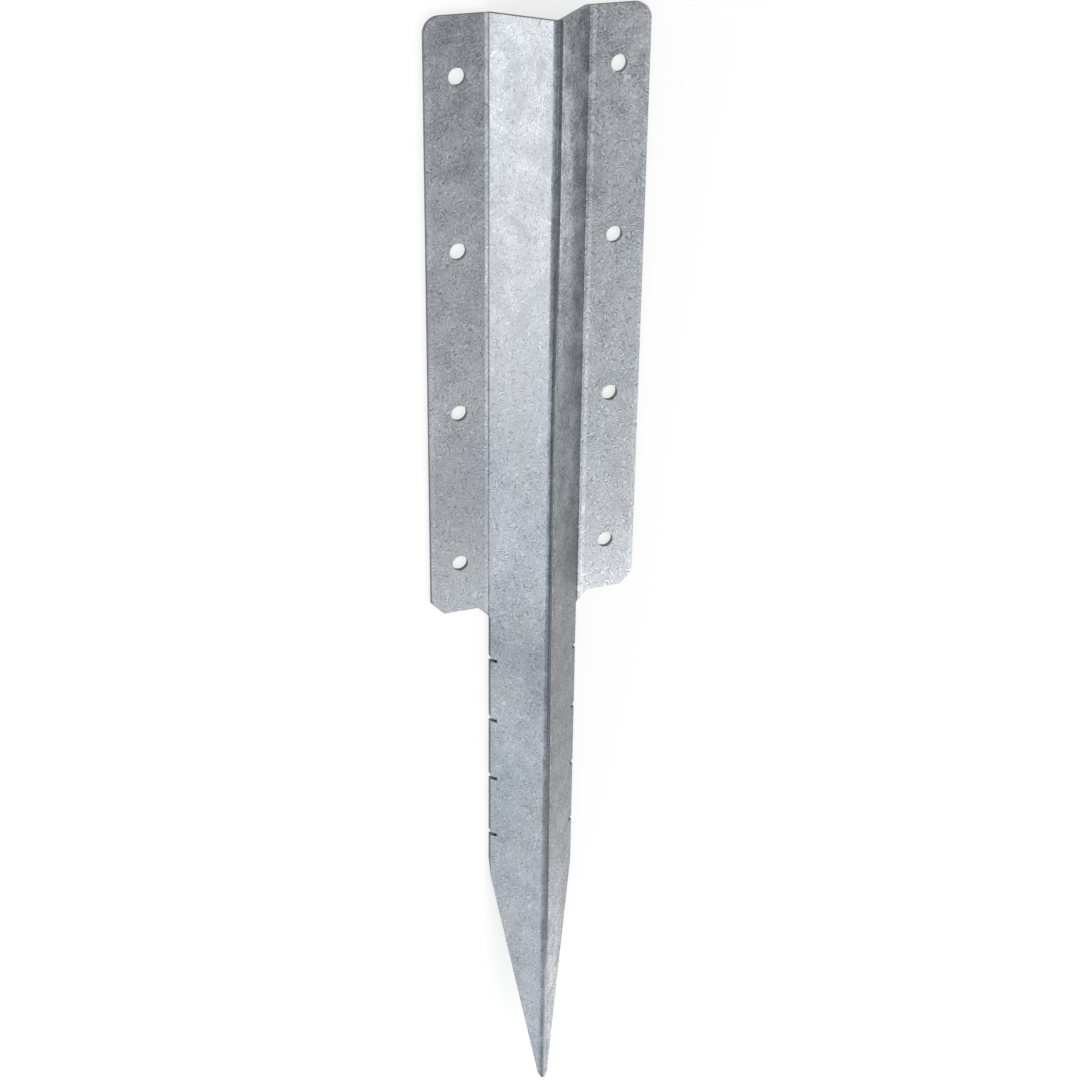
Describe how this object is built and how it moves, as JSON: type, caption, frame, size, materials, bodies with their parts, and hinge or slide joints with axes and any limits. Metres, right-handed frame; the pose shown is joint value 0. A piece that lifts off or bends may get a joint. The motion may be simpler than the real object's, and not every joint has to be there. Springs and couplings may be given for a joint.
{
  "type": "ground spike",
  "caption": "Folded galvanised steel ground spike: a ridged blade with a tapered tip, and drilled flanges on its upper half that screw to the side of a timber sleeper.",
  "frame": {"origin": "midway between the top end and the tip, on the centre line, in the plane of the flanges' back faces, which the part lies on", "axes": "+Y along the spike from the tip to the top end, +Z out of the crest of the ridge, X across the flanges"},
  "size_m": [0.1, 0.55, 0.025],
  "materials": {
    "galvanised_steel": "hot-dip galvanised, dull grey with a fine mottle"
  },
  "bodies": {
    "root": {"ground_spike": "galvanised_steel"}
  },
  "joints": []
}
